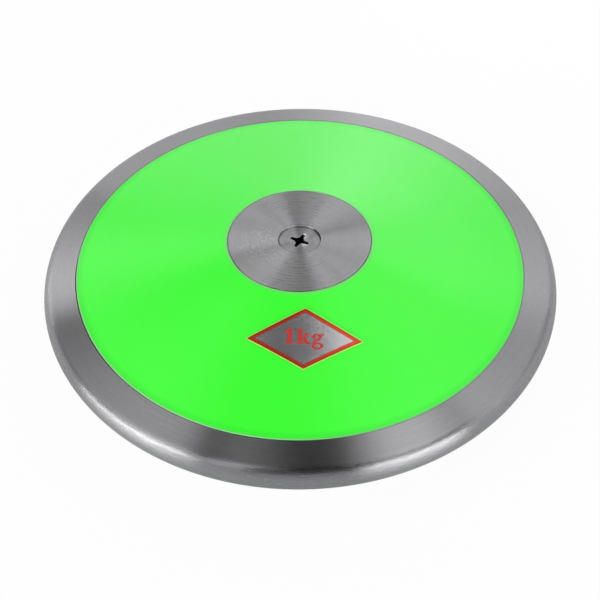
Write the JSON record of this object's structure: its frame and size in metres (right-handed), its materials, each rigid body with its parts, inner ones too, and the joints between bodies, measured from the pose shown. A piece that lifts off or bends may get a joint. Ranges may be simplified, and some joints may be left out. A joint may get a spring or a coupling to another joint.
{
  "type": "discus",
  "caption": "Throwing discus of the 1 kg class: steel rim, ribbed plastic side plates let in flush, and screwed steel centre plates.",
  "frame": {"origin": "centre of the discus, on the middle plane of the rim", "axes": "+Z along the axis of the discus, out of the face with the label; the label lies towards -Y"},
  "size_m": [0.182, 0.182, 0.038],
  "materials": {
    "rim_steel": "satin",
    "side_plastic": "gloss",
    "centre_steel": "satin",
    "screw_steel": "satin",
    "nut_steel": "satin",
    "adhesive": "satin",
    "label_foil": "gloss"
  },
  "bodies": {
    "root": {"rim_ring": "rim_steel", "upper_side_plate": "side_plastic", "lower_side_plate": "side_plastic", "upper_centre_plate": "centre_steel", "lower_centre_plate": "centre_steel", "upper_screw": "screw_steel", "lower_screw": "screw_steel", "hex_nut": "nut_steel", "upper_rim_adhesive": "adhesive", "lower_rim_adhesive": "adhesive", "weight_label": "label_foil"}
  },
  "joints": []
}
